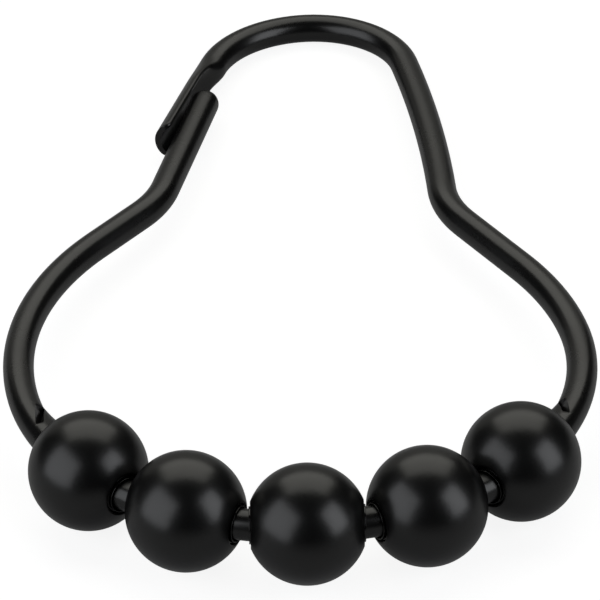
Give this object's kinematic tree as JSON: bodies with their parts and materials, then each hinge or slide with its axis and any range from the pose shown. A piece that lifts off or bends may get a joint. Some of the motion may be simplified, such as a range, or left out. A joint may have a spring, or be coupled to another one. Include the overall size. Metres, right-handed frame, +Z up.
{
  "type": "shower curtain hook",
  "caption": "Pear-shaped wire shower curtain hook with a snap clasp and a row of hollow roller balls on its wide end.",
  "frame": {"origin": "on the surface that the hook lies on, under the middle of its outline", "axes": "+Z up from that surface; +Y from the row of balls towards the narrow loop; +X to the right, with the clasp on the left"},
  "size_m": [0.0508, 0.0878, 0.0104],
  "materials": {
    "painted_wire": "satin black",
    "painted_ball": "satin black",
    "plastic_bush": "gloss black"
  },
  "bodies": {
    "wire": {"wire_ring": "painted_wire"},
    "roller_1": {"ball_1": "painted_ball", "bush_1_left": "plastic_bush", "bush_1_right": "plastic_bush"},
    "roller_2": {"ball_2": "painted_ball", "bush_2_left": "plastic_bush", "bush_2_right": "plastic_bush"},
    "roller_3": {"ball_3": "painted_ball", "bush_3_left": "plastic_bush", "bush_3_right": "plastic_bush"},
    "roller_4": {"ball_4": "painted_ball", "bush_4_left": "plastic_bush", "bush_4_right": "plastic_bush"},
    "roller_5": {"ball_5": "painted_ball", "bush_5_left": "plastic_bush", "bush_5_right": "plastic_bush"}
  },
  "joints": [
    {"name": "roller_1_spin", "type": "hinge", "parent": "wire", "child": "roller_1", "pos_m": [-0.01782, -0.03071, 0.005], "axis": [0.6539, -0.7556, 0.038], "continuous": true},
    {"name": "roller_2_spin", "type": "hinge", "parent": "wire", "child": "roller_2", "pos_m": [-0.00977, -0.03674, 0.0053], "axis": [0.9094, -0.4155, 0.0209], "continuous": true},
    {"name": "roller_3_spin", "type": "hinge", "parent": "wire", "child": "roller_3", "pos_m": [0.00006, -0.03888, 0.00541], "axis": [1, 0, 0], "continuous": true},
    {"name": "roller_4_spin", "type": "hinge", "parent": "wire", "child": "roller_4", "pos_m": [0.00988, -0.03674, 0.0053], "axis": [0.9094, 0.4155, -0.0209], "continuous": true},
    {"name": "roller_5_spin", "type": "hinge", "parent": "wire", "child": "roller_5", "pos_m": [0.01793, -0.03071, 0.005], "axis": [0.6539, 0.7556, -0.038], "continuous": true}
  ]
}
